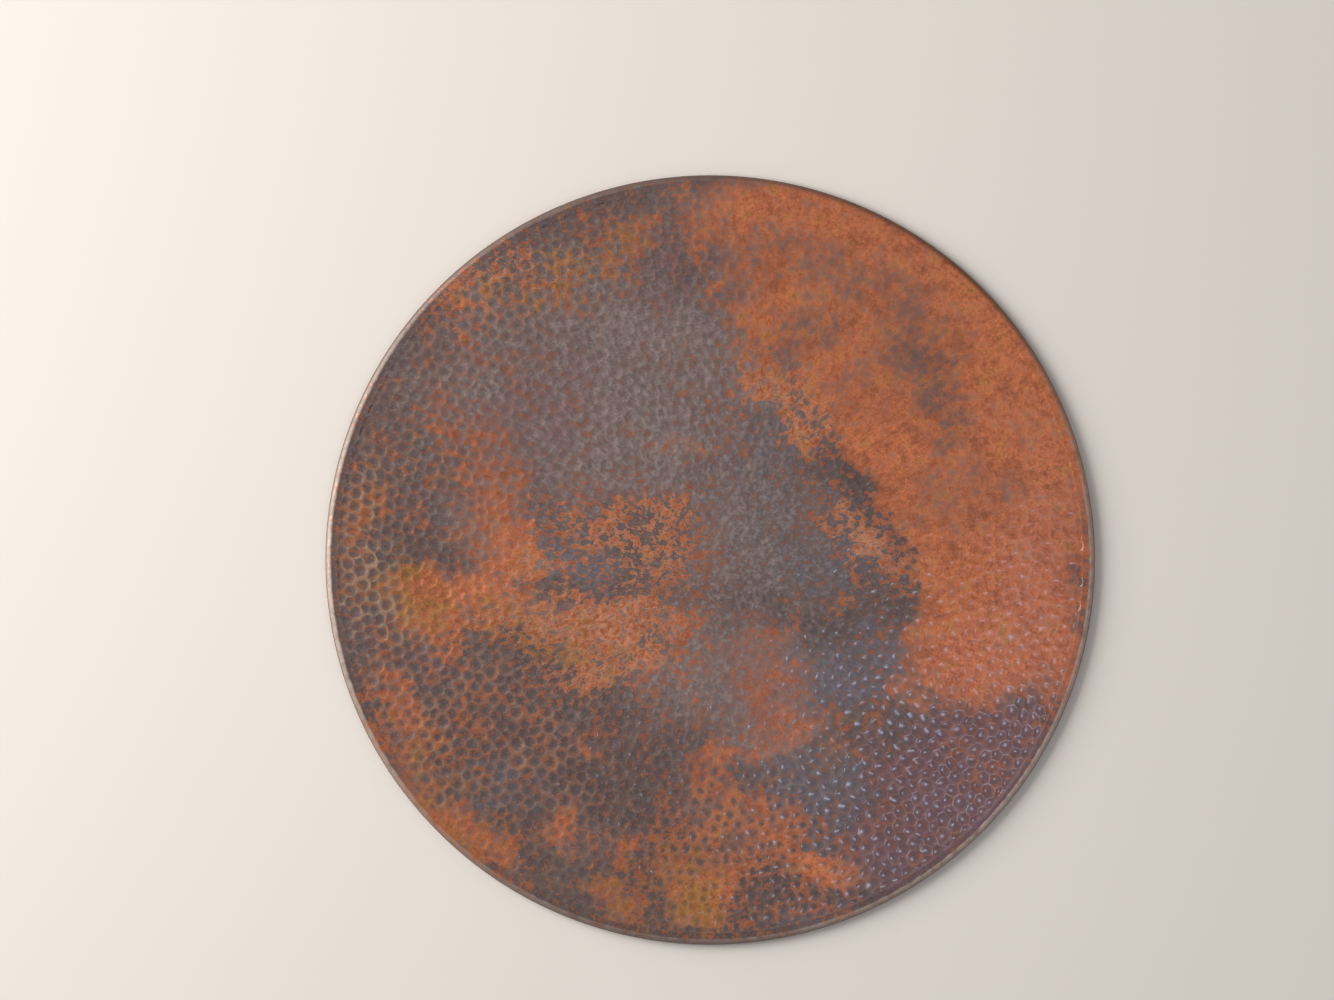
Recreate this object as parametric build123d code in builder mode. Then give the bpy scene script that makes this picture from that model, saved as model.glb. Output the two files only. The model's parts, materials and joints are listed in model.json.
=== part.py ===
"""A round tray of hammered copper sheet, with its edge rolled down over a steel wire.

The tray lies flat, serving face up. The origin is at the middle of the plane that it rests on,
and +Z is the tray's own axis. All sizes are in millimetres, and angles are in degrees.
"""

import math
import os

from build123d import *

# Driving dimensions
tray_diameter = 500.0      # over the rolled edge
sheet_thickness = 1.2
wire_diameter = 5.0        # the wire inside the rolled edge
wire_clearance = 0.05      # between the wire and the roll, all round
wire_end_gap = 1.5         # between the wire's two ends, where they meet
edge_gap = 0.6             # left between the sheet's rolled-under edge and the underside of the face
foot_width = 2.0           # flat rubbed along the underside of the roll, which the tray rests on

# The roll, in the plane of the tray's section: radius across, height up
roll_inner_radius = wire_diameter / 2 + wire_clearance
roll_outer_radius = roll_inner_radius + sheet_thickness
roll_centre_radius = tray_diameter / 2 - roll_outer_radius
roll_centre_height = math.sqrt(roll_outer_radius**2 - (foot_width / 2) ** 2)
roll_centre = (roll_centre_radius, roll_centre_height)
face_height = roll_centre_height + roll_outer_radius
underside_height = face_height - sheet_thickness

# The edge turns down, under and back up, until it is edge_gap short of the face
roll_angle = 270 + math.degrees(math.asin((roll_inner_radius - edge_gap) / roll_outer_radius))

os.makedirs("parts", exist_ok=True)


# The sheet: a flat disc whose edge is rolled round the wire
with BuildPart() as hammered_sheet:
    with BuildSketch(Plane.XZ):
        with BuildLine():
            serving_face = Line((0, face_height), (roll_centre_radius, face_height))
            outside = CenterArc(roll_centre, roll_outer_radius, 90, -roll_angle)
            inside = CenterArc(roll_centre, roll_inner_radius, 90, -roll_angle)
            Line(outside @ 1, inside @ 1)
            underside = Line(inside @ 0, (0, underside_height))
            Line(underside @ 1, serving_face @ 0)
        make_face()
    revolve(axis=Axis.Z)
    # the foot: the underside of the roll is rubbed flat where the tray stands
    split(bisect_by=Plane.XY, keep=Keep.TOP)
hammered_sheet.part.label = "hammered_sheet"
export_step(hammered_sheet.part, "parts/hammered_sheet.step")


# The wire: a ring left open by the narrow gap between its ends
wire_gap_angle = math.degrees(wire_end_gap / roll_centre_radius)

with BuildPart() as edge_wire:
    with BuildSketch(Plane.XZ):
        with Locations(roll_centre):
            Circle(wire_diameter / 2)
    revolve(axis=Axis.Z, revolution_arc=360 - wire_gap_angle)
edge_wire.part.label = "edge_wire"
export_step(edge_wire.part, "parts/edge_wire.step")

print(f"overall {tray_diameter:.1f} across and {face_height:.3f} high, roll angle {roll_angle:.1f}")
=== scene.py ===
# %% [markdown]
# # A hammered copper tray
# A round tray is cut from one copper sheet. A smith dimples the whole face with a ball-peen hammer,
# rolls the edge down round a steel wire, and colours the metal with heat and oxides until it is
# orange, ochre, plum and nearly black. This lesson builds the sheet as one closed mesh, paints
# its patina, and lights it. Everything is in metres, and +Z comes up out of the face.

# %% Load the measured frame
import json
import math

import bpy
import numpy as np
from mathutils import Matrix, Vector, noise


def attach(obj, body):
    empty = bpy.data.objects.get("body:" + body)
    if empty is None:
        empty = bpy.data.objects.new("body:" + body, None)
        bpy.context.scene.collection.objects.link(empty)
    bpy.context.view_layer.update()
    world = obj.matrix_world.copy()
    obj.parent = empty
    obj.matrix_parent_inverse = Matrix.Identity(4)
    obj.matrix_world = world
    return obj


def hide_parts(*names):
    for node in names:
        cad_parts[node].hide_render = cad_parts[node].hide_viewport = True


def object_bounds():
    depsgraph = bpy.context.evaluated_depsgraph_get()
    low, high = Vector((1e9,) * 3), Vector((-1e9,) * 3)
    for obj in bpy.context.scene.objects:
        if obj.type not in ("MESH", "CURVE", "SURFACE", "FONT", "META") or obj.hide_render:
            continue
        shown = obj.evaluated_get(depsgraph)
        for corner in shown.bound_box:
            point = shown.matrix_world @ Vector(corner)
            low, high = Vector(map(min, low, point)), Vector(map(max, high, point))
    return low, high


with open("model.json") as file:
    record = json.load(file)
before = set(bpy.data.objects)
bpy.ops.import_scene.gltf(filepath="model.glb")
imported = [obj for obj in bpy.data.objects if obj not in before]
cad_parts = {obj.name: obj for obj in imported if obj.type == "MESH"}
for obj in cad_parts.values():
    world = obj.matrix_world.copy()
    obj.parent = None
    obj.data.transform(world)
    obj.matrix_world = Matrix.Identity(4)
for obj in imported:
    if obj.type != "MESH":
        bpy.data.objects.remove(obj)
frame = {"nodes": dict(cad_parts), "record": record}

cad_low, cad_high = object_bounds()
mounts = {mount["name"]: mount["pos_m"] for mount in frame["record"]["mounts"]}
tray_radius = (cad_high.x - cad_low.x) / 2
face_height = mounts["serving_face"][2]
roll_centre_radius = mounts["rim_foot"][0]
roll_radius = tray_radius - roll_centre_radius
roll_centre_height = face_height - roll_radius
sheet_thickness = 0.0012
roll_hollow = roll_radius - sheet_thickness
underside_height = face_height - sheet_thickness
print(f"tray {tray_radius * 2000:.0f} mm across, face {face_height * 1000:.2f} mm up, "
      f"sheet {sheet_thickness * 1000:.2f} mm thick")

# %% [markdown]
# ## The camera
# The tray is looked at square on to its face with a long lens, so its outline is a true circle.
# A perspective camera straight above it does that. It stands a little to one side of the tray's
# axis, which sets the tray right of the middle and low in the picture without any lens shift.

# %% Stand the camera over the tray
camera_height = 3.0
tray_share = 0.5775                            # of the picture's width
aside, above = -0.0324, 0.0450                 # of the camera from the axis, in picture widths
picture_width = 2 * tray_radius / tray_share
camera_data = bpy.data.cameras.new("camera")
camera = bpy.data.objects.new("camera", camera_data)
bpy.context.scene.collection.objects.link(camera)
bpy.context.scene.camera = camera
camera_data.sensor_width = 36
camera_data.lens = camera_data.sensor_width * (camera_height - face_height) / picture_width
camera.location = (aside * picture_width, above * picture_width, camera_height)
print(f"lens {camera_data.lens:.0f} mm from {camera_height} m")

# %% [markdown]
# ## Where the hammer fell
# Each blow leaves a shallow bowl, and neighbouring bowls meet in low ridges, so the face is a
# loose honeycomb. A displacement texture would give the pattern, but not clean ridges, so here
# each dimple is real mesh. A hexagon of triangles has one corner for each blow. Its
# corners are moved onto rounds about the middle, as a smith works, each round is slipped
# along by chance, and every blow strays a little.

# %% Lay out the blows
chance = np.random.RandomState(11)
rounds = 32
field_radius = 0.2418
stray_spread, stray_limit = 0.20, 0.36         # how far a blow strays, in shares of the pitch
blow_pitch = field_radius / rounds


def only(piece):
    """Selects one piece and nothing else."""
    if bpy.context.object and bpy.context.object.mode != "OBJECT":
        bpy.ops.object.mode_set(mode="OBJECT")
    bpy.ops.object.select_all(action="DESELECT")
    piece.select_set(True)
    bpy.context.view_layer.objects.active = piece


def corners(mesh):
    """The places of a mesh's corners, as rows of x, y and z."""
    flat = np.empty(len(mesh.vertices) * 3)
    mesh.vertices.foreach_get("co", flat)
    return flat.reshape(-1, 3)


def move_corners(mesh, places):
    mesh.vertices.foreach_set("co", places.ravel())
    mesh.update()


bpy.ops.object.select_all(action="DESELECT")
bpy.ops.mesh.primitive_circle_add(vertices=6, radius=field_radius, fill_type="TRIFAN",
                                  location=(0, 0, 0))
tray_sheet = bpy.context.object
tray_sheet.name = tray_sheet.data.name = "tray_sheet"
bpy.ops.object.mode_set(mode="EDIT")
bpy.ops.mesh.select_all(action="SELECT")
bpy.ops.mesh.subdivide(number_cuts=rounds - 1)
bpy.ops.object.mode_set(mode="OBJECT")

blows = corners(tray_sheet.data)
bearing = np.arctan2(-blows[:, 0], blows[:, 1]) % (2 * math.pi)      # from the first corner, at +Y
sixth = math.pi / 3
within = bearing % sixth - sixth / 2
hexagon_size = np.hypot(blows[:, 0], blows[:, 1]) * np.cos(within) / math.cos(sixth / 2)
round_number = np.rint(hexagon_size / blow_pitch).astype(int)
along_side = 0.5 + 0.5 * np.tan(within) / math.tan(sixth / 2)
bearing = (np.floor(bearing / sixth) + along_side) * sixth
slip = chance.uniform(-0.5, 0.5, rounds + 1) * sixth / np.maximum(np.arange(rounds + 1), 1)
bearing += slip[round_number]
stray = chance.normal(0, stray_spread, (len(blows), 2)) * blow_pitch
stray = np.clip(stray, -stray_limit * blow_pitch, stray_limit * blow_pitch)
stray[round_number == rounds] = 0
stray[:, 0] += round_number * blow_pitch * np.cos(bearing)
stray[:, 1] += round_number * blow_pitch * np.sin(bearing)
blows[:, :2] = stray
blows[:, 2] = 0
move_corners(tray_sheet.data, blows)
print(f"{len(blows)} blows, {blow_pitch * 1000:.2f} mm apart")

# %% [markdown]
# ## From blows to a honeycomb
# The triangles between the blows are first evened out, so that each is as near equal-sided as it
# can be. Geometry Nodes then swaps corners and faces with Dual Mesh: every blow becomes one
# many-sided cell, and the cells meet three at a corner, as hammer marks do.

# %% Turn the blows into cells
only(tray_sheet)
bpy.ops.object.mode_set(mode="EDIT")
bpy.ops.mesh.select_all(action="SELECT")
bpy.ops.mesh.beautify_fill(angle_limit=math.pi)
bpy.ops.object.mode_set(mode="OBJECT")

cell_nodes = bpy.data.node_groups.new("cells from blows", "GeometryNodeTree")
cell_nodes.interface.new_socket("Mesh", in_out="INPUT", socket_type="NodeSocketGeometry")
cell_nodes.interface.new_socket("Mesh", in_out="OUTPUT", socket_type="NodeSocketGeometry")
group_in = cell_nodes.nodes.new("NodeGroupInput")
group_out = cell_nodes.nodes.new("NodeGroupOutput")
dual = cell_nodes.nodes.new("GeometryNodeDualMesh")
dual.inputs["Keep Boundaries"].default_value = True
cell_nodes.links.new(group_in.outputs[0], dual.inputs["Mesh"])
cell_nodes.links.new(dual.outputs["Dual Mesh"], group_out.inputs[0])
cells = tray_sheet.modifiers.new("cells", "NODES")
cells.node_group = cell_nodes
bpy.ops.object.modifier_apply(modifier=cells.name)

places = corners(tray_sheet.data)
outline = np.zeros(len(places), bool)
edge_uses = {}
for polygon in tray_sheet.data.polygons:
    for key in polygon.edge_keys:
        edge_uses[key] = edge_uses.get(key, 0) + 1
for (first, second), uses in edge_uses.items():
    if uses == 1:
        outline[[first, second]] = True
radius = np.hypot(places[:, 0], places[:, 1])
places[outline, :2] *= (field_radius / radius[outline])[:, None]
places[:, 2] = face_height
move_corners(tray_sheet.data, places)
print(f"{len(tray_sheet.data.polygons)} cells inside an outline of {outline.sum()} corners")

# %% [markdown]
# ## The back of the sheet
# On the real tray each blow also shows behind, as a faint round swelling. The honeycomb is copied
# before it is dimpled, turned over, and each cell is poked and pushed out a little.

# %% Copy the cells for the underside
swelling = 0.00022
swelling_fade = 0.006                          # the swellings die out over this much, at the roll
only(tray_sheet)
bpy.ops.object.duplicate()
back = bpy.context.object
bpy.ops.object.mode_set(mode="EDIT")
bpy.ops.mesh.select_all(action="SELECT")
bpy.ops.mesh.flip_normals()
bpy.ops.transform.translate(value=(0, 0, -sheet_thickness))
cell_corners = len(back.data.vertices)
bpy.ops.mesh.poke()
bpy.ops.object.mode_set(mode="OBJECT")
places = corners(back.data)
from_roll = field_radius - np.hypot(places[:, 0], places[:, 1])
reach = np.clip(from_roll / swelling_fade, 0, 1)
places[cell_corners:, 2] -= swelling * reach[cell_corners:]
move_corners(back.data, places)
print(f"underside has {len(back.data.polygons)} faces")

# %% [markdown]
# ## The rolled edge
# A smith turns the sheet's edge down over the wire and tucks it in with a chisel-edged hammer,
# which leaves a shallow crease just inside the roll. By hand in Blender that is the outline of
# the face, extruded again and again: down into the crease, over and round the wire, across the
# cut edge, and back round the inside of the roll to the underside. Every step is an extrude,
# a resize about the tray's axis, and a move.

# %% Roll the edge round the wire
roll_end = -211.3                              # degrees round the roll, 90 is its top
crease = [(0.2428, -0.00001), (0.2439, -0.00003), (0.2449, -0.00004)]
outer_turn = [98, 90, 76, 62, 48, 34, 17, 0, -17, -34, -54, -74.5, -105.5,
              -125, -147, -169, -190, roll_end]
inner_turn = [roll_end, -184, -156, -128, -100, -72, -44, -16, 12, 38, 64, 90]


def on_roll(size, angle):
    """A point of the roll's section, as a radius and a height. The foot is rubbed flat at 0."""
    turn = math.radians(angle)
    return (roll_centre_radius + size * math.cos(turn),
            max(0.0, roll_centre_height + size * math.sin(turn)))


section = [(ring, face_height + drop) for ring, drop in crease]
section += [on_roll(roll_radius, angle) for angle in outer_turn]
section += [on_roll(roll_hollow, angle) for angle in inner_turn]
section += [(field_radius, underside_height)]

only(tray_sheet)
bpy.ops.object.mode_set(mode="EDIT")
bpy.ops.mesh.select_mode(type="EDGE")
bpy.ops.mesh.select_all(action="DESELECT")
bpy.ops.mesh.select_non_manifold(extend=False, use_wire=False, use_boundary=True,
                                 use_multi_face=False, use_non_contiguous=False,
                                 use_verts=False)
ring, height = field_radius, face_height
for next_ring, next_height in section:
    bpy.ops.mesh.extrude_region()
    bpy.ops.transform.resize(value=(next_ring / ring, next_ring / ring, 1),
                             center_override=(0, 0, 0))
    bpy.ops.transform.translate(value=(0, 0, next_height - height))
    ring, height = next_ring, next_height
bpy.ops.mesh.select_mode(type="FACE")
bpy.ops.object.mode_set(mode="OBJECT")
print(f"{len(section)} extrusions, tray now {tray_sheet.dimensions.x * 1000:.2f} mm across")

# %% [markdown]
# ## Dabs
# Hammering and patina both differ from one part of the face to another, in soft patches with
# ragged edges. A dab is a soft oval: its place, length and width in shares of the tray's radius,
# its turn in degrees, and the value that it leaves. Noise pushes its edge about, and later dabs
# lie over earlier ones, as a finisher works with a torch and a rag.

# %% A way to dab values on
noise.seed_set(1)                              # without this the noise differs from run to run


def ragged(xs, ys):
    """Moves points about a little, so that an oval drawn over them has a ragged edge."""
    moved = np.empty((2, len(xs)))
    for index, (x, y) in enumerate(zip(xs, ys)):
        spot = Vector((x, y, 0.37))
        push = (0.065 * noise.noise_vector(spot * 5) + 0.040 * noise.noise_vector(spot * 14)
                + 0.022 * noise.noise_vector(spot * 36))
        moved[:, index] = x + push.x, y + push.y
    return moved


def dabbed(points, start, dabs):
    """A value for each point: the start value, with each dab laid over it in turn."""
    value = np.full(points.shape[1], float(start))
    for x, y, length, width, turned, left in dabs:
        turn = math.radians(turned)
        dx, dy = points[0] - x, points[1] - y
        far = np.hypot((dx * math.cos(turn) + dy * math.sin(turn)) / length,
                       (dy * math.cos(turn) - dx * math.sin(turn)) / width)
        soft = np.clip((1.55 - far) / 1.15, 0, 1)
        value += (left - value) * soft * soft * (3 - 2 * soft)
    return value


# %% [markdown]
# ## Hollowing the dimples
# Every cell is inset three times and poked, which gives it rings of faces and a middle. The rings
# are drawn in towards the middle and lowered along a bowl, deepest where the hammer struck. No
# two blows are equal, so each cell has its own depth and leans its own way. The smith also struck
# harder on the left and along the bottom, and barely marked the upper right.

# %% Inset and lower every cell
bowl_rings = {0.83: 0.25, 0.54: 0.70, 0.26: 0.95}      # each ring's size, and how round it is
bowl_depth = 0.00040
cell_reach = 0.55 * blow_pitch                 # from a cell's middle to its ridge, on average
lean_spread, lean_limit = 0.03, 0.05
margin_bowl = 0.60                             # the bowl value of the smooth margin and the roll
tuck_depth = 0.00012                           # the deepest tuck beside the roll

mesh = tray_sheet.data
is_cell = np.array([polygon.center.xy.length < field_radius - 0.00005 and
                    polygon.center.z > face_height - 0.00002 and len(polygon.vertices) > 3
                    for polygon in mesh.polygons])
mesh.polygons.foreach_set("select", is_cell)
mesh.attributes.new("bowl", "FLOAT", "POINT")
bowl = np.ones(len(mesh.vertices))
mesh.attributes["bowl"].data.foreach_set("value", bowl)
chosen = np.flatnonzero(is_cell)
cell_middles = np.array([mesh.polygons[index].center[:2] for index in chosen]) / tray_radius
force = dabbed(ragged(*cell_middles.T), 0.75, [
    (-0.75, -0.10, 0.25, 0.60, 0, 1.15), (-0.40, -0.55, 0.35, 0.25, -20, 1.10),
    (0.30, -0.75, 0.50, 0.20, 15, 1.00), (0.75, -0.45, 0.25, 0.30, 20, 0.95),
    (0.45, 0.60, 0.50, 0.32, -45, 0.40), (0.05, 0.15, 0.30, 0.30, 0, 0.75),
    (-0.30, 0.50, 0.40, 0.40, 0, 0.95), (0.85, 0.00, 0.15, 0.20, 0, 0.70),
])
cell_size = np.sqrt([mesh.polygons[index].area / math.pi for index in chosen]) / cell_reach
blow_depth = bowl_depth * force * chance.uniform(0.78, 1.18, len(chosen))
blow_depth *= np.clip(cell_size, 0.6, 1.15)
blow_lean = np.clip(chance.normal(0, lean_spread, (len(chosen), 2)), -lean_limit, lean_limit)
previous = 1.0
for scale, roundness in bowl_rings.items():
    bpy.ops.object.mode_set(mode="EDIT")
    bpy.ops.mesh.inset(thickness=0, use_individual=True, use_select_inset=False)
    bpy.ops.object.mode_set(mode="OBJECT")
    places = corners(mesh)
    bowl = np.empty(len(places))
    mesh.attributes["bowl"].data.foreach_get("value", bowl)
    inner = [polygon for polygon in mesh.polygons if polygon.select]
    for polygon, depth, tilt in zip(inner, blow_depth, blow_lean):
        ring_corners = list(polygon.vertices)
        middle = places[ring_corners, :2].mean(axis=0)
        out = (places[ring_corners, :2] - middle) * (scale / previous)
        size = np.hypot(*out.T)
        out *= (1 + roundness * (size.mean() / size - 1))[:, None]
        places[ring_corners, :2] = middle + out
        places[ring_corners, 2] = face_height - (depth - out @ tilt) * (1 - scale**2)
        bowl[ring_corners] = np.hypot(*out.T) / cell_reach
    mesh.attributes["bowl"].data.foreach_set("value", bowl)
    move_corners(mesh, places)
    previous = scale
middles_from = len(mesh.vertices)
bpy.ops.object.mode_set(mode="EDIT")
bpy.ops.mesh.poke()
bpy.ops.object.mode_set(mode="OBJECT")
places = corners(mesh)
places[middles_from:, 2] = face_height - blow_depth
bowl = np.empty(len(places))
mesh.attributes["bowl"].data.foreach_get("value", bowl)
bowl[middles_from:] = 0
from_axis = np.hypot(places[:, 0], places[:, 1])
bowl[from_axis > field_radius + 0.0002] = margin_bowl
mesh.attributes["bowl"].data.foreach_set("value", bowl)
tucked = np.flatnonzero((abs(from_axis - crease[1][0]) < 0.0003) &
                        (places[:, 2] > underside_height + sheet_thickness / 2))
places[tucked, 2] -= chance.uniform(0, tuck_depth, len(tucked))
move_corners(mesh, places)
print(f"{len(inner)} dimples, {blow_depth.mean() * 1000:.2f} mm deep on average, "
      f"{blow_depth.max() * 1000:.2f} mm at most, and {len(tucked)} tucks beside the roll")

# %% [markdown]
# ## Closing the sheet
# The back joins the face where the two outlines lie on each other, which makes one closed mesh.
# Then the whole plate is given its slow waves, the same above and below, and the corners are
# shaded smooth. The patterns below read each corner's own place, so the mesh stays where it is.

# %% Join the back and wave the plate
wave_height = 0.00016
wave_end, wave_fade = 0.2425, 0.03             # the plate is flat from here, and near flat inside it
only(tray_sheet)
back.select_set(True)
bpy.ops.object.join()
bpy.ops.object.mode_set(mode="EDIT")
bpy.ops.mesh.select_all(action="SELECT")
bpy.ops.mesh.remove_doubles(threshold=0.000002)
bpy.ops.mesh.select_mode(type="EDGE")
bpy.ops.mesh.select_all(action="DESELECT")
bpy.ops.mesh.select_non_manifold(extend=False)
bpy.ops.object.mode_set(mode="OBJECT")
open_corners = sum(vertex.select for vertex in mesh.vertices)
places = corners(mesh)
flatness = np.clip((wave_end - np.hypot(places[:, 0], places[:, 1])) / wave_fade, 0, 1)
waves = np.array([noise.noise(Vector((x * 9, y * 9, 3.1))) +
                  0.5 * noise.noise(Vector((x * 24, y * 24, 7.7)))
                  for x, y in places[:, :2]])
places[:, 2] += wave_height * flatness * (waves - 0.5)
move_corners(mesh, places)
bpy.ops.object.shade_smooth()
triangles = sum(len(polygon.vertices) - 2 for polygon in mesh.polygons)
print(f"{triangles} triangles, {open_corners} open corners, "
      f"z {places[:, 2].min() * 1000:.2f} to {places[:, 2].max() * 1000:.2f} mm")

# %% [markdown]
# ## Unwrapping
# A round tray unwraps like a flower pressed flat. The face and the roll share one disc, in which
# the distance from the middle is measured along the metal, and the back is a smaller disc in the
# opposite corner of the square.

# %% Lay the sheet out flat
face_disc = (0.425, 0.425, 0.42)
back_disc = (0.843, 0.843, 0.153)
along = np.hypot(places[:, 0], places[:, 1])
walk = {}
travelled = field_radius
ring, height = field_radius, face_height
for next_ring, next_height in section[:-1]:
    travelled += math.hypot(next_ring - ring, next_height - height)
    walk[(round(next_ring * 1e6), round(next_height * 1e6))] = travelled
    ring, height = next_ring, next_height
longest = travelled
walk_keys = np.array(list(walk), float) / 1e6
walk_values = np.array(list(walk.values()))
edge_zone = np.flatnonzero(along > field_radius + 0.0004)
for index in edge_zone:
    gap = np.hypot(walk_keys[:, 0] - along[index], walk_keys[:, 1] - places[index, 2])
    along[index] = walk_values[gap.argmin()]
turn = np.arctan2(places[:, 1], places[:, 0])
layout = mesh.uv_layers.new(name="OFBake")
flat = np.zeros((len(mesh.loops), 2))
for polygon in mesh.polygons:
    under = (polygon.normal.z < -0.8 and polygon.center.xy.length < roll_centre_radius
             and abs(polygon.center.z - underside_height) < 0.0006)
    x, y, size = back_disc if under else face_disc
    for loop in polygon.loop_indices:
        corner = mesh.loops[loop].vertex_index
        if under:
            out = np.hypot(*places[corner, :2]) / roll_centre_radius * size
        else:
            out = along[corner] / longest * size
        flat[loop] = x + out * math.cos(turn[corner]), y + out * math.sin(turn[corner])
layout.data.foreach_set("uv", flat.ravel())
print(f"the metal runs {longest * 1000:.1f} mm from the middle to the end of the roll")

# %% [markdown]
# ## Painting the patina
# Heat and oxides colour the copper in clouds that no formula gives, so they are dabbed on like
# the hammer's force. Each effect has its own layer, kept on the mesh's corners for the material.

# %% The layers of patina
layers = {}
ragged_corners = ragged(*(places[:, :2].T / tray_radius))


def paint(layer, start, dabs):
    layers[layer] = dabbed(ragged_corners, start, dabs)
    print(f"{layer}: {len(dabs)} dabs, mean {layers[layer].mean():.2f}")


# %% Dark oxide, from bare copper at 0 to fully covered at 1
paint("oxide", 0.85, [
    # the orange sweep down the right side
    (0.70, 0.55, 0.42, 0.26, -50, 0.12), (0.30, 0.86, 0.40, 0.12, -12, 0.24),
    (0.30, 0.66, 0.30, 0.17, -10, 0.26), (0.38, 0.42, 0.26, 0.16, -35, 0.25),
    (0.55, 0.25, 0.25, 0.12, -35, 0.12), (0.82, 0.05, 0.18, 0.32, 0, 0.06),
    (0.72, -0.20, 0.24, 0.17, 10, 0.05), (0.82, -0.30, 0.14, 0.12, 0, 0.08),
    (0.62, 0.02, 0.08, 0.14, 0, 0.15), (0.14, 0.47, 0.12, 0.06, -35, 0.35),
    # its dark flecks
    (0.18, 0.79, 0.15, 0.06, -8, 0.46), (0.20, 0.58, 0.12, 0.06, 0, 0.50),
    (0.45, 0.68, 0.18, 0.08, -30, 0.44), (0.55, 0.46, 0.12, 0.12, -20, 0.58),
    (0.64, 0.36, 0.07, 0.08, 0, 0.52), (0.68, 0.17, 0.12, 0.08, -15, 0.36),
    (0.42, 0.44, 0.10, 0.08, 0, 0.34),
    # the dark band from the top, through the middle
    (-0.24, 0.45, 0.21, 0.30, 0, 0.97), (-0.08, 0.72, 0.11, 0.09, 0, 0.92),
    (-0.12, 0.60, 0.10, 0.08, 0, 0.78), (-0.38, 0.36, 0.12, 0.12, 0, 0.80),
    (0.08, 0.16, 0.14, 0.13, 0, 1.00), (0.12, -0.02, 0.14, 0.14, 0, 1.00),
    (0.36, 0.20, 0.045, 0.065, 0, 0.98), (0.53, 0.02, 0.025, 0.07, 0, 0.80),
    (0.36, -0.21, 0.11, 0.13, 0, 0.98), (0.46, -0.11, 0.04, 0.06, 0, 0.85),
    # lace, where copper shows through in specks
    (0.40, 0.05, 0.14, 0.07, -25, 0.42), (0.22, 0.34, 0.09, 0.08, 0, 0.42),
    (-0.18, 0.08, 0.20, 0.13, -15, 0.48), (-0.36, 0.01, 0.06, 0.05, 0, 0.80),
    (-0.08, 0.31, 0.12, 0.02, -5, 0.60), (0.22, -0.14, 0.02, 0.06, 0, 0.60),
    (0.32, -0.10, 0.06, 0.02, 20, 0.60),
    # the upper left and the left
    (-0.47, 0.74, 0.26, 0.11, 8, 0.62), (-0.28, 0.83, 0.14, 0.05, 30, 0.52),
    (-0.60, 0.69, 0.10, 0.06, -40, 0.42), (-0.62, 0.48, 0.20, 0.12, 40, 0.85),
    (-0.78, 0.27, 0.16, 0.12, 70, 0.74), (-0.58, 0.30, 0.10, 0.12, 0, 0.62),
    (-0.47, 0.42, 0.12, 0.10, 0, 0.78), (-0.56, 0.11, 0.10, 0.11, 20, 0.52),
    (-0.65, -0.06, 0.12, 0.07, 0, 0.12), (-0.76, -0.12, 0.10, 0.08, 0, 0.20),
    (-0.90, -0.02, 0.08, 0.22, 0, 0.62), (-0.48, 0.00, 0.09, 0.07, -20, 0.25),
    (-0.50, -0.14, 0.18, 0.07, -10, 0.30), (-0.28, -0.15, 0.15, 0.07, 0, 0.24),
    (-0.25, -0.25, 0.18, 0.06, -10, 0.32), (-0.10, -0.17, 0.08, 0.05, 0, 0.45),
    (-0.70, -0.20, 0.10, 0.05, 0, 0.50),
    # the lower left
    (-0.68, -0.32, 0.22, 0.08, -18, 0.85), (-0.55, -0.45, 0.24, 0.12, -15, 0.78),
    (-0.50, -0.58, 0.14, 0.07, -25, 0.86), (-0.82, -0.42, 0.06, 0.14, 25, 0.50),
    (-0.22, -0.42, 0.14, 0.09, 0, 0.92), (-0.24, -0.62, 0.14, 0.12, 0, 0.93),
    (-0.70, -0.66, 0.26, 0.07, -45, 0.36), (-0.40, -0.70, 0.09, 0.07, 0, 0.46),
    (-0.46, -0.76, 0.04, 0.09, 40, 0.80), (-0.30, -0.47, 0.05, 0.04, -20, 0.50),
    # the bottom
    (-0.25, -0.76, 0.14, 0.06, 0, 0.58), (-0.37, -0.84, 0.08, 0.04, -25, 0.82),
    (-0.27, -0.88, 0.12, 0.04, -20, 0.42), (0.00, -0.86, 0.12, 0.12, 0, 0.15),
    (-0.16, -0.84, 0.05, 0.05, 0, 0.65), (0.02, -0.62, 0.12, 0.16, 0, 0.56),
    (0.12, -0.70, 0.12, 0.08, 0, 0.45), (-0.02, -0.97, 0.25, 0.02, 0, 0.70),
    (0.20, -0.90, 0.16, 0.07, 10, 0.72), (0.42, -0.76, 0.10, 0.05, 0, 0.45),
    (0.32, -0.78, 0.13, 0.04, 5, 0.00),
    # below the middle
    (0.14, -0.28, 0.15, 0.11, 0, 0.52), (0.20, -0.43, 0.12, 0.06, 20, 0.46),
    (-0.02, -0.30, 0.08, 0.10, 0, 0.70), (0.02, -0.52, 0.08, 0.04, 0, 0.42),
    (0.20, -0.55, 0.12, 0.06, 0, 0.85),
    # the lower right
    (0.62, -0.62, 0.34, 0.14, 45, 0.93), (0.40, -0.60, 0.14, 0.10, 0, 0.90),
    (0.74, -0.48, 0.14, 0.05, 10, 0.75), (0.50, -0.36, 0.05, 0.04, 0, 0.40),
    (0.33, -0.52, 0.05, 0.03, 0, 0.60),
])

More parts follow.
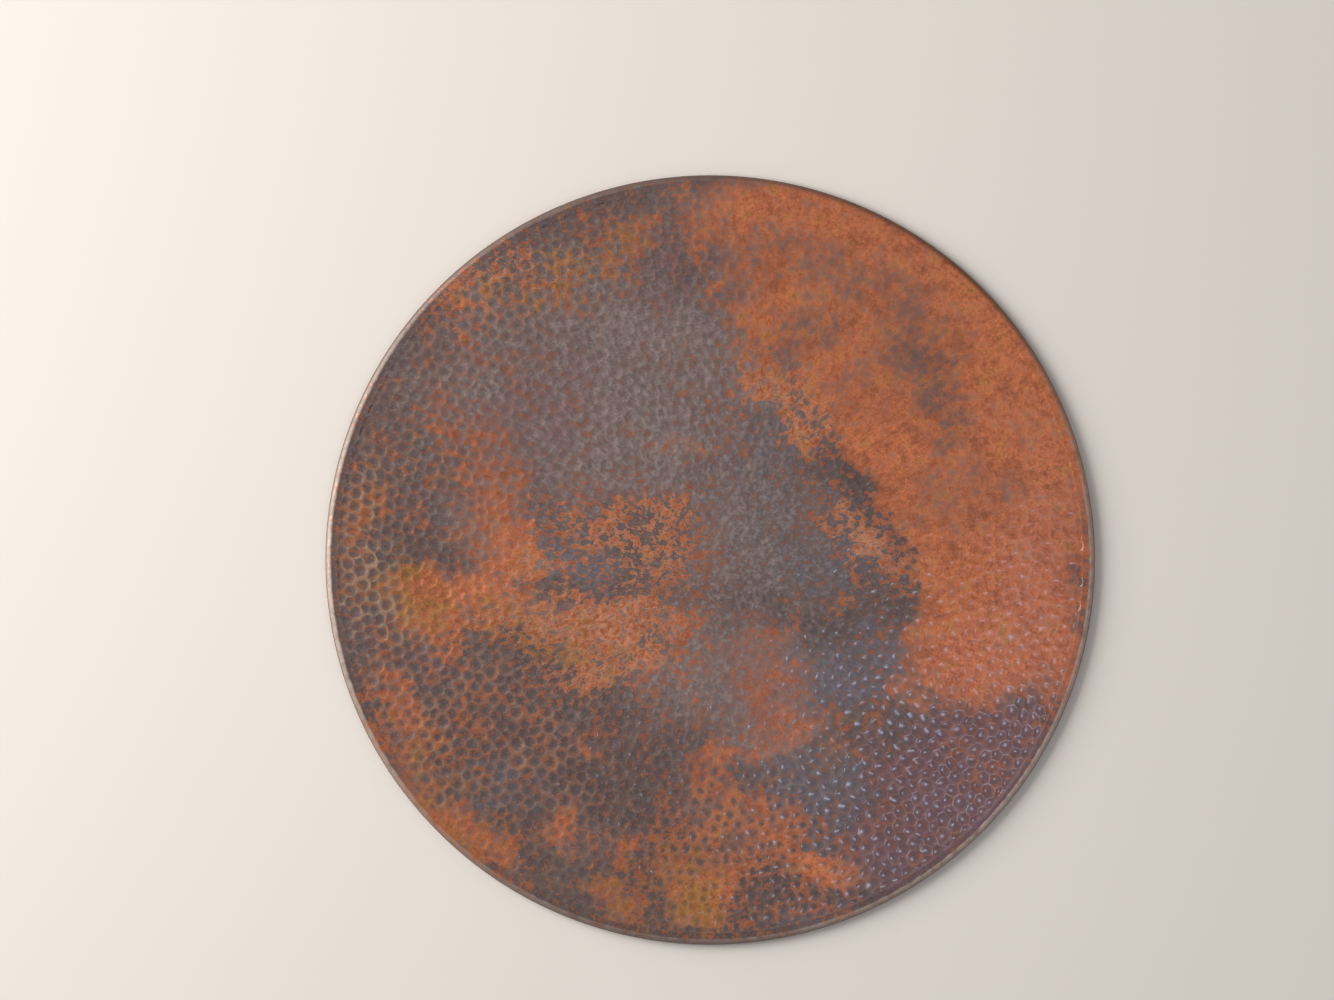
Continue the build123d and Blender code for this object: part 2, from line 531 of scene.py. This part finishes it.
# %% Pools in the dimples, ochre, plum, blue-black, crisp lace, worn ridges with painted highlight, and grey haze
paint("pools", 0.25, [
    (-0.80, 0.10, 0.20, 0.35, 10, 0.60), (-0.60, -0.45, 0.35, 0.20, -30, 0.85),
    (-0.60, 0.60, 0.28, 0.20, 45, 0.75), (0.15, -0.75, 0.30, 0.20, 0, 0.90),
    (0.62, -0.62, 0.30, 0.20, 45, 0.50), (0.80, -0.10, 0.20, 0.30, 0, 0.15),
    (0.00, 0.10, 0.35, 0.30, 0, 0.08), (0.40, 0.60, 0.50, 0.35, -45, 0.05),
])
paint("ochre", 0.10, [
    (-0.33, 0.80, 0.16, 0.07, 30, 0.80), (-0.45, 0.70, 0.20, 0.04, 0, 0.80),
    (-0.82, -0.08, 0.18, 0.13, 0, 0.85), (-0.82, 0.22, 0.12, 0.14, 0, 0.45),
    (-0.02, -0.86, 0.20, 0.14, 0, 0.85), (-0.28, -0.90, 0.22, 0.08, -20, 0.75),
    (-0.46, -0.19, 0.22, 0.08, -10, 0.66), (-0.90, 0.05, 0.08, 0.14, 0, 0.50),
    (0.13, 0.51, 0.07, 0.04, 0, 0.50),
    (0.57, 0.18, 0.06, 0.05, 0, 0.35), (-0.70, -0.60, 0.20, 0.08, -50, 0.35),
    (0.34, -0.54, 0.05, 0.03, 0, 0.70), (0.12, -0.84, 0.10, 0.10, 0, 0.30),
    (-0.72, -0.62, 0.22, 0.10, -48, 0.62),
])
paint("plum", 0.30, [
    (0.62, -0.58, 0.32, 0.20, 45, 1.00), (-0.45, 0.42, 0.20, 0.15, 0, 0.60),
    (-0.55, 0.15, 0.10, 0.15, 0, 0.50), (0.14, -0.30, 0.15, 0.12, 0, 0.60),
    (0.86, -0.05, 0.12, 0.28, 0, 0.72), (-0.72, -0.25, 0.10, 0.05, 0, 0.60),
    (0.74, -0.26, 0.18, 0.12, 0, 0.62),
    (-0.10, 0.75, 0.15, 0.12, 0, 0.60), (-0.65, 0.55, 0.20, 0.15, 40, 0.40),
])
paint("blue", 0.10, [
    (0.38, -0.28, 0.14, 0.12, 0, 0.90), (0.32, 0.00, 0.20, 0.10, 0, 0.50),
    (0.10, 0.12, 0.16, 0.16, 0, 0.35),
    (-0.35, 0.00, 0.10, 0.08, 0, 0.70), (0.25, -0.58, 0.16, 0.08, 0, 0.70),
    (-0.55, -0.58, 0.12, 0.06, 0, 0.50), (0.30, -0.68, 0.12, 0.06, 0, 0.60),
    (0.30, -0.92, 0.15, 0.05, 10, 0.60), (0.15, 0.30, 0.12, 0.08, 0, 0.40),
    (0.50, 0.42, 0.08, 0.08, 0, 0.30),
])
paint("lace", 0.35, [
    (-0.20, 0.05, 0.30, 0.20, 0, 1.00), (0.40, 0.05, 0.20, 0.12, -20, 1.00),
    (0.18, 0.38, 0.20, 0.15, -30, 0.90), (-0.30, -0.22, 0.34, 0.18, -10, 0.90),
    (-0.25, 0.45, 0.20, 0.25, 0, 0.05), (-0.50, 0.40, 0.15, 0.15, 0, 0.10),
    (0.10, 0.10, 0.15, 0.15, 0, 0.20), (0.78, 0.00, 0.22, 0.40, 0, 0.10),
    (0.00, -0.85, 0.30, 0.15, 0, 0.50), (0.45, 0.62, 0.45, 0.22, -40, 0.24),
    (-0.48, 0.74, 0.28, 0.12, 8, 0.90), (0.14, -0.30, 0.16, 0.12, 0, 0.02),
    (-0.56, 0.14, 0.10, 0.14, 0, 0.05), (0.60, -0.60, 0.34, 0.20, 45, 0.25),
])
# Worn ridges, partly a painted highlight, strongest at the left edge where the window light falls
paint("ridges", 0.12, [
    (-0.90, 0.00, 0.10, 0.28, 0, 0.75), (-0.70, -0.35, 0.25, 0.15, -30, 0.40),
    (0.85, -0.10, 0.14, 0.35, 0, 0.50), (0.65, -0.62, 0.36, 0.22, 45, 0.22),
    (-0.50, -0.50, 0.25, 0.15, -20, 0.40), (0.10, 0.20, 0.50, 0.45, 0, 0.00),
])
paint("haze", 0.30, [
    (0.60, 0.45, 0.55, 0.40, -50, 0.00), (0.80, -0.10, 0.22, 0.35, 0, 0.05),
    (-0.70, -0.62, 0.30, 0.12, -45, 0.00), (0.05, -0.85, 0.40, 0.15, 0, 0.05),
    (-0.65, -0.05, 0.20, 0.12, 0, 0.05),
    (-0.20, 0.42, 0.30, 0.32, 0, 0.90), (0.10, 0.08, 0.20, 0.18, 0, 0.85),
    (-0.10, -0.25, 0.15, 0.15, 0, 0.90), (0.15, -0.40, 0.20, 0.10, 0, 0.80),
    (-0.60, 0.48, 0.20, 0.15, 40, 0.70), (-0.55, -0.50, 0.25, 0.15, -20, 0.15),
    (-0.24, -0.62, 0.16, 0.12, 0, 0.15), (0.38, -0.28, 0.14, 0.12, 0, 0.32),
    (0.62, -0.60, 0.32, 0.16, 45, 0.40), (-0.85, 0.10, 0.12, 0.25, 0, 0.20),
    (-0.20, 0.07, 0.16, 0.11, 0, 0.10), (0.40, 0.05, 0.14, 0.08, -20, 0.15),
    (-0.35, -0.18, 0.25, 0.12, -10, 0.05), (-0.56, 0.12, 0.10, 0.14, 0, 0.60),
    (0.14, -0.30, 0.15, 0.11, 0, 0.80),
])

# %% How bare the crest of the roll is, with its painted sheen and shade, eighth by eighth from +X round through +Y
# High values paint the crest pale, for wear and for a painted sheen; low values leave painted shade
# on it
crest = [0.75, 0.0, 0.10, 0.25, 0.90, 0.30, 0.30, 0.90]
eighths = np.arange(len(crest)) * math.pi / 4
ragged_turn = np.arctan2(ragged_corners[1], ragged_corners[0])[edge_zone]
layers["ridges"][edge_zone] = np.interp(ragged_turn, eighths, crest, period=2 * math.pi)
print(f"crest bare by {layers['ridges'][edge_zone].mean():.2f} on average")

# %% Keep the layers on the mesh
for name, names in {"patina_a": ("oxide", "pools", "ochre", "plum"),
                    "patina_b": ("blue", "lace", "ridges", "haze")}.items():
    values = np.clip(np.stack([layers[each] for each in names], axis=1), 0, 1)
    mesh.attributes.new(name, "FLOAT_COLOR", "POINT")
    mesh.attributes[name].data.foreach_set("color", values.ravel())
print("layers kept:", [attribute.name for attribute in mesh.attributes
                       if attribute.data_type == "FLOAT_COLOR"])

# %% [markdown]
# ## The patina as a material
# The painted layers say roughly how much oxide lies where. What the eye reads as patina is finer:
# clouds, blots, specks and grains where the oxide took hold or was rubbed through, and dark pools
# at the bottom of the dimples. The group below adds four sizes of noise to the painted oxide and
# cuts the sum at a threshold, sharply where the patina is lacy and softly where it is hazy.

# %% Helpers for nodes
def add(tree, kind, label, **values):
    """Adds a node, and sets its properties, or its inputs where the name is an input's."""
    new = tree.nodes.new(kind)
    new.label = label
    for name, value in values.items():
        if hasattr(new, name):
            setattr(new, name, value)
        else:
            new.inputs[name.replace("_", " ")].default_value = value
    return new


def sum_up(tree, operation, first, second, third=None, label=""):
    """A Math node. Each term is a number or another node's output."""
    new = add(tree, "ShaderNodeMath", label or operation.lower(), operation=operation)
    for socket, term in zip(new.inputs, (first, second, third)):
        if term is None:
            continue
        if isinstance(term, (int, float)):
            socket.default_value = term
        else:
            tree.links.new(term, socket)
    return new.outputs[0]


def blend(tree, share, under, over, label):
    """A colour Mix node: share 0 is under, 1 is over."""
    new = add(tree, "ShaderNodeMix", label, data_type="RGBA", blend_type="MIX")
    for socket, term in ((new.inputs[0], share), (new.inputs[6], under), (new.inputs[7], over)):
        if isinstance(term, (int, float)):
            socket.default_value = term
        elif isinstance(term, tuple):
            socket.default_value = (*term, 1)
        else:
            tree.links.new(term, socket)
    return new.outputs[2]


def ramp(tree, value, low, high, to_low=0.0, to_high=1.0, label="ramp"):
    """A smooth Map Range node."""
    new = add(tree, "ShaderNodeMapRange", label, interpolation_type="SMOOTHSTEP")
    for socket, term in zip(new.inputs, (value, low, high, to_low, to_high)):
        if isinstance(term, (int, float)):
            socket.default_value = term
        else:
            tree.links.new(term, socket)
    return new.outputs[0]


def grain(tree, vector, size, detail, label, rough=0.6):
    """Noise whose features are about this size, in metres, centred on 0."""
    new = add(tree, "ShaderNodeTexNoise", label, Scale=1 / size, Detail=detail, Roughness=rough)
    tree.links.new(vector, new.inputs["Vector"])
    return sum_up(tree, "SUBTRACT", new.outputs[0], 0.5)


def new_group(name, inputs, outputs):
    """A shader group with its sockets, and its two ends."""
    tree = bpy.data.node_groups.new(name, "ShaderNodeTree")
    for socket, kind in inputs:
        tree.interface.new_socket(socket, in_out="INPUT", socket_type="NodeSocket" + kind)
    for socket, kind in outputs:
        tree.interface.new_socket(socket, in_out="OUTPUT", socket_type="NodeSocket" + kind)
    return tree, tree.nodes.new("NodeGroupInput").outputs, tree.nodes.new("NodeGroupOutput").inputs


# %% Oxide over copper
bright_copper, golden_copper = (0.570, 0.165, 0.060), (0.450, 0.185, 0.052)
brown_copper, plum_copper = (0.330, 0.098, 0.038), (0.440, 0.140, 0.095)
ochre_glaze, worn_copper = (0.280, 0.132, 0.034), (0.485, 0.275, 0.185)
rusty_copper, olive_copper = (0.430, 0.190, 0.100), (0.370, 0.265, 0.145)
pink_copper, thin_oxide = (0.400, 0.220, 0.205), (0.098, 0.046, 0.030)
film_oxide, grey_oxide = (0.175, 0.092, 0.074), (0.170, 0.131, 0.127)
black_oxide, blue_oxide = (0.052, 0.039, 0.042), (0.094, 0.090, 0.112)
# Next: a pale copper for the rubbed crest of the roll that also paints a sheen on it, and a dark
# brown for painted shade and tarnish over the roll
polished_copper_sheen, roll_shade_and_tarnish_colour = (0.530, 0.430, 0.375), (0.070, 0.034, 0.024)
maroon_oxide, brown_oxide = (0.112, 0.054, 0.068), (0.120, 0.068, 0.044)

margin_starts, margin_ends = field_radius - 0.0003, field_radius + 0.0017
roll_shade_starts = tray_radius - 0.0050             # where painted shade and tarnish begin on the way out over the roll
# Where the painted sheen on the crest and the painted shade at the limb begin and are full
crest_sheen_starts, crest_sheen_full = tray_radius - 0.0044, tray_radius - 0.0030
limb_shade_starts, limb_shade_full = tray_radius - 0.0010, tray_radius - 0.0002

patina, given, made = new_group(
    "oxide over copper",
    [("Vector", "Vector"), ("Oxide", "Float"), ("Pools", "Float"), ("Ochre", "Float"),
     ("Plum", "Float"), ("Blue", "Float"), ("Lace", "Float"), ("Ridges", "Float"),
     ("Haze", "Float"), ("Bowl", "Float")],
    [("Color", "Color"), ("Dark", "Float"), ("Roughness", "Float"), ("Height", "Float"),
     ("Coat", "Float")])
clouds = grain(patina, given["Vector"], 0.024, 6, "clouds", 0.62)
blots = grain(patina, given["Vector"], 0.0065, 5, "blots", 0.62)
fines = grain(patina, given["Vector"], 0.0032, 4, "fines", 0.6)
grains = grain(patina, given["Vector"], 0.0016, 3, "grains", 0.6)
tints = grain(patina, given["Vector"], 0.0110, 5, "tints", 0.68)
hollow = sum_up(patina, "SUBTRACT", 0.56, given["Bowl"], label="how far down the dimple")

strong = sum_up(patina, "MULTIPLY_ADD", sum_up(patina, "SUBTRACT", given["Oxide"], 0.5), 1.5, 0.5)
drift = sum_up(patina, "MULTIPLY_ADD", clouds, 2.6, strong, label="drift")
film = sum_up(patina, "MULTIPLY_ADD", blots, 2.6, drift)
film = sum_up(patina, "MULTIPLY_ADD", fines, 1.2, film)
film = ramp(patina, film, -0.15, 1.05, 0.0, sum_up(patina, "MULTIPLY_ADD", given["Lace"],
                                                         -0.40, 0.80), label="thin film")
spread = sum_up(patina, "MULTIPLY_ADD", given["Lace"], 3.0, 2.0)
cut = sum_up(patina, "MULTIPLY_ADD", blots, spread, drift)
cut = sum_up(patina, "MULTIPLY_ADD", fines, 3.3, cut)
cut = sum_up(patina, "MULTIPLY_ADD", grains, 1.8, cut)
pooling = sum_up(patina, "MULTIPLY_ADD", given["Lace"], 0.25,
                 sum_up(patina, "MULTIPLY", given["Pools"], 0.5), label="pooling")
pooling = sum_up(patina, "MULTIPLY", pooling,
                 ramp(patina, tints, -0.20, 0.20, 0.25, 1.70, label="not every dimple pools"))
cut = sum_up(patina, "MULTIPLY_ADD", hollow, pooling, cut)
softness = ramp(patina, given["Lace"], 0.0, 0.9, 0.52, 0.12, label="softness")
dark = ramp(patina, cut, sum_up(patina, "SUBTRACT", 0.55, softness),
            sum_up(patina, "ADD", 0.55, softness), label="dark")

mottle = sum_up(patina, "ADD", sum_up(patina, "MULTIPLY", blots, 0.8), tints, label="mottle")
copper = blend(patina, ramp(patina, mottle, -0.32, 0.18), brown_copper, bright_copper, "copper")
copper = blend(patina, ramp(patina, tints, 0.0, 0.20, 0.0, 0.55), copper, golden_copper, "golden")
copper = blend(patina, sum_up(patina, "MULTIPLY", given["Plum"], 0.5), copper, plum_copper,
               "plum copper")
rubbed = sum_up(patina, "MULTIPLY_ADD", blots, 0.8, fines)
laciness = sum_up(patina, "SUBTRACT", given["Lace"], 0.65)
rubbed = sum_up(patina, "MULTIPLY_ADD", laciness, 0.60, rubbed)
copper = blend(patina, ramp(patina, rubbed, -0.06, 0.36, 0.0, 0.62), copper, worn_copper, "rubbed")
glaze = ramp(patina, sum_up(patina, "MULTIPLY_ADD", tints, 4.0, given["Ochre"]), 0.20, 1.25,
             0.0, 0.85)
copper = blend(patina, glaze, copper, ochre_glaze, "ochre glaze")

film_tint = blend(patina, given["Haze"], film_oxide, grey_oxide, "film")
greyness = sum_up(patina, "MULTIPLY_ADD", blots, 1.1, sum_up(patina, "MULTIPLY", fines, 0.7))
greyness = sum_up(patina, "MULTIPLY_ADD", given["Haze"], 0.80, greyness, label="greyness")
oxide = blend(patina, ramp(patina, greyness, 0.0, 1.0), black_oxide, grey_oxide, "oxide")
browning = ramp(patina, tints, -0.02, 0.20, 0.0, sum_up(patina, "MULTIPLY_ADD", given["Haze"],
                                                         -0.45, 0.70), label="browning")
oxide = blend(patina, browning, oxide, brown_oxide, "brown")
oxide = blend(patina, ramp(patina, sum_up(patina, "MULTIPLY_ADD", tints, 1.5, given["Plum"]),
                           0.35, 1.0, 0.0, 0.9), oxide, maroon_oxide, "maroon")
oxide = blend(patina, ramp(patina, sum_up(patina, "MULTIPLY_ADD", tints, -1.5, given["Blue"]),
                           0.15, 0.9, 0.0, 0.9), oxide, blue_oxide, "blue black")
thickness = ramp(patina, sum_up(patina, "MULTIPLY_ADD", given["Lace"], 0.35, given["Oxide"]),
                 0.30, 0.85, 0.45, 0.94, label="how thick the oxide is")
oxide = blend(patina, ramp(patina, thickness, 0.45, 0.90, 0.75, 0.0), oxide, thin_oxide, "thin")
colour = blend(patina, film, copper, film_tint, "film over copper")
colour = blend(patina, sum_up(patina, "MULTIPLY", dark, thickness), colour, oxide, "patina")
bottoms = sum_up(patina, "MULTIPLY_ADD", fines, 1.8, sum_up(patina, "MULTIPLY_ADD", tints, 2.2,
                                                            hollow))
bottoms = ramp(patina, bottoms, -0.05, 0.60, 0.0, 0.60, label="bottoms")
settled = sum_up(patina, "MULTIPLY", bottoms, given["Pools"], label="settled")
colour = blend(patina, settled, colour, black_oxide, "settled in the dimples")
# Worn ridges between the dimples, lightened to copper tints; where the layer is strong this is
# partly a painted highlight
ridge = ramp(patina, sum_up(patina, "MULTIPLY_ADD", blots, 1.4, given["Bowl"]), 0.80, 1.12,
             label="ridge")
ridge = sum_up(patina, "MULTIPLY", ridge, sum_up(patina, "MULTIPLY", given["Ridges"], 0.55))
crest_tint = blend(patina, given["Ochre"], rusty_copper, olive_copper, "rusty or olive")
crest_tint = blend(patina, ramp(patina, given["Plum"], 0.4, 0.9), crest_tint, pink_copper, "pink")
colour = blend(patina, ridge, colour, crest_tint, "worn ridge")
speckle = sum_up(patina, "MULTIPLY_ADD", fines, 0.9, grains)
speckle = sum_up(patina, "MULTIPLY_ADD", blots, 0.5, speckle)
speckle = sum_up(patina, "MULTIPLY_ADD", tints, 0.5, speckle)
speckle = sum_up(patina, "MULTIPLY_ADD", clouds, 0.9, speckle)
grit = ramp(patina, speckle, -0.40, 0.40, 0.70, 1.31, label="grit")
gritty = add(patina, "ShaderNodeVectorMath", "grit", operation="SCALE")
patina.links.new(colour, gritty.inputs[0])
patina.links.new(grit, gritty.inputs["Scale"])
colour = gritty.outputs[0]
across = add(patina, "ShaderNodeVectorMath", "from the axis", operation="LENGTH")
level = add(patina, "ShaderNodeVectorMath", "flattened", operation="MULTIPLY")
level.inputs[1].default_value = (1, 1, 0)
patina.links.new(given["Vector"], level.inputs[0])
patina.links.new(level.outputs[0], across.inputs[0])
ragged_edge = sum_up(patina, "MULTIPLY_ADD", blots, 0.0015, across.outputs["Value"])
# Painted shade and tarnish over the outside of the roll, darkest where the crest value is low
tarnish = ramp(patina, ragged_edge, roll_shade_starts, tray_radius - 0.0008, 0.0,
               sum_up(patina, "MULTIPLY_ADD", given["Ridges"], -0.80, 0.75), label="tarnish")
colour = blend(patina, tarnish, colour, roll_shade_and_tarnish_colour, "tarnish over the roll")
# The crest of the roll rubbed bare to pale copper, which is also a painted sheen where light catches
# it
bare = sum_up(patina, "MULTIPLY", ramp(patina, ragged_edge, crest_sheen_starts, crest_sheen_full, 0.0, 0.85),
              ramp(patina, blots, -0.20, 0.10, 0.50, 1.0))
bare = sum_up(patina, "MULTIPLY", bare, given["Ridges"], label="bare crest")
colour = blend(patina, bare, colour, polished_copper_sheen, "rubbed crest of the roll")
# Painted shade: a dark line along the outermost edge of the roll, all the way round
limb_shade = ramp(patina, ragged_edge, limb_shade_starts, limb_shade_full, 0.0, 0.90, label="outside of the roll")
colour = blend(patina, limb_shade, colour, roll_shade_and_tarnish_colour, "dark outside")
patina.links.new(colour, made["Color"])
patina.links.new(dark, made["Dark"])
patina.links.new(ramp(patina, sum_up(patina, "ADD", blots, dark), 0.0, 1.1, 0.42, 0.55),
                 made["Roughness"])
patina.links.new(sum_up(patina, "MULTIPLY_ADD", grains, 0.6, blots), made["Height"])
coat = sum_up(patina, "MULTIPLY", ramp(patina, dark, 0.0, 1.0, 0.40, 1.0),
              ramp(patina, across.outputs["Value"], margin_starts, margin_ends, 0.65, 0.10),
              label="coat")
patina.links.new(coat, made["Coat"])
print(f"patina group has {len(patina.nodes)} nodes")

# %% The sheet's material
sheet_finish = bpy.data.materials.new("hammered_copper")
sheet_finish.use_nodes = True
tree = sheet_finish.node_tree
shader = tree.nodes["Principled BSDF"]
place = add(tree, "ShaderNodeTexCoord", "place").outputs["Object"]
layer_a = add(tree, "ShaderNodeAttribute", "layers a", attribute_name="patina_a")
layer_b = add(tree, "ShaderNodeAttribute", "layers b", attribute_name="patina_b")
bowl_layer = add(tree, "ShaderNodeAttribute", "bowl", attribute_name="bowl")
split_a = add(tree, "ShaderNodeSeparateColor", "oxide, pools, ochre")
split_b = add(tree, "ShaderNodeSeparateColor", "blue, lace, ridges")
tree.links.new(layer_a.outputs["Color"], split_a.inputs[0])
tree.links.new(layer_b.outputs["Color"], split_b.inputs[0])
patina_node = add(tree, "ShaderNodeGroup", "oxide over copper", node_tree=patina)
for output, name in ((place, "Vector"), (split_a.outputs[0], "Oxide"),
                     (split_a.outputs[1], "Pools"), (split_a.outputs[2], "Ochre"),
                     (layer_a.outputs["Alpha"], "Plum"), (split_b.outputs[0], "Blue"),
                     (split_b.outputs[1], "Lace"), (split_b.outputs[2], "Ridges"),
                     (layer_b.outputs["Alpha"], "Haze"), (bowl_layer.outputs["Fac"], "Bowl")):
    tree.links.new(output, patina_node.inputs[name])
tree.links.new(patina_node.outputs["Color"], shader.inputs["Base Color"])
tree.links.new(patina_node.outputs["Roughness"], shader.inputs["Roughness"])
tree.links.new(ramp(tree, patina_node.outputs["Dark"], 0, 1, 0.35, 0.15, label="metal"),
               shader.inputs["Metallic"])
relief = add(tree, "ShaderNodeBump", "pitting", Strength=0.35, Distance=0.0002)
tree.links.new(patina_node.outputs["Height"], relief.inputs["Height"])
tree.links.new(relief.outputs[0], shader.inputs["Normal"])
shader.inputs["Specular IOR Level"].default_value = 0.35
tree.links.new(patina_node.outputs["Coat"], shader.inputs["Coat Weight"])
shader.inputs["Coat Roughness"].default_value = 0.16
tray_sheet.data.materials.clear()
tray_sheet.data.materials.append(sheet_finish)

# %% The wire's material
wire_finish = bpy.data.materials.new("rim_wire_steel")
wire_finish.use_nodes = True
wire_tree = wire_finish.node_tree
wire_shader = wire_tree.nodes["Principled BSDF"]
wire_place = add(wire_tree, "ShaderNodeTexCoord", "place").outputs["Object"]
wire_grain = grain(wire_tree, wire_place, 0.0012, 4, "drawn steel")
wire_tree.links.new(blend(wire_tree, ramp(wire_tree, wire_grain, -0.15, 0.15),
                          (0.16, 0.155, 0.15), (0.34, 0.335, 0.33), "dull steel"),
                    wire_shader.inputs["Base Color"])
wire_tree.links.new(ramp(wire_tree, wire_grain, -0.15, 0.15, 0.5, 0.35),
                    wire_shader.inputs["Roughness"])
wire_shader.inputs["Metallic"].default_value = 0.9
wire = frame["nodes"]["edge_wire"]
wire.data.materials.clear()
wire.data.materials.append(wire_finish)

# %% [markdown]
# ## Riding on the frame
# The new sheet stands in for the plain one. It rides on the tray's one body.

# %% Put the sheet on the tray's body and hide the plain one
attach(tray_sheet, "root")
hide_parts("hammered_sheet")

# %% [markdown]
# ## Floor and light
# The tray lies on a plain pale floor. A big soft window stands low on its left, a small cool
# lamp hangs over its lower right, and a pale sky fills the shadows.

# %% Lay the floor and hang the lights
only(tray_sheet)
bpy.ops.object.select_all(action="DESELECT")
bpy.ops.mesh.primitive_plane_add(size=24, location=(0, 0, 0))
floor = bpy.context.object
floor.name = "floor"
floor_finish = bpy.data.materials.new("pale floor")
floor_finish.use_nodes = True
floor_shader = floor_finish.node_tree.nodes["Principled BSDF"]
floor_shader.inputs["Base Color"].default_value = (0.70, 0.66, 0.62, 1)
floor_shader.inputs["Roughness"].default_value = 0.9
floor.data.materials.append(floor_finish)


def area_light(name, towards, distance, across, power, colour):
    """A square light that faces the tray's middle from a direction and a distance."""
    data = bpy.data.lights.new(name, "AREA")
    data.shape, data.size, data.size_y = "RECTANGLE", across[0], across[1]
    data.energy, data.color = power, colour
    light = bpy.data.objects.new(name, data)
    bpy.context.scene.collection.objects.link(light)
    away = Vector(towards).normalized()
    light.location = away * distance
    light.rotation_mode = "QUATERNION"
    light.rotation_quaternion = away.to_track_quat("Z", "Y")


area_light("window", (-0.80, 0.29, 0.52), 2.6, (1.9, 1.9), 96, (1.0, 0.97, 0.93))
area_light("small lamp", (0.295, -0.24, 1.0), 1.07, (0.08, 0.08), 0.66, (0.66, 0.74, 1.0))
world = bpy.data.worlds.new("room")
bpy.context.scene.world = world
world.use_nodes = True
world.node_tree.nodes["Background"].inputs[0].default_value = (1.0, 0.96, 0.92, 1)
world.node_tree.nodes["Background"].inputs[1].default_value = 0.40
bpy.context.scene.view_settings.view_transform = "Standard"
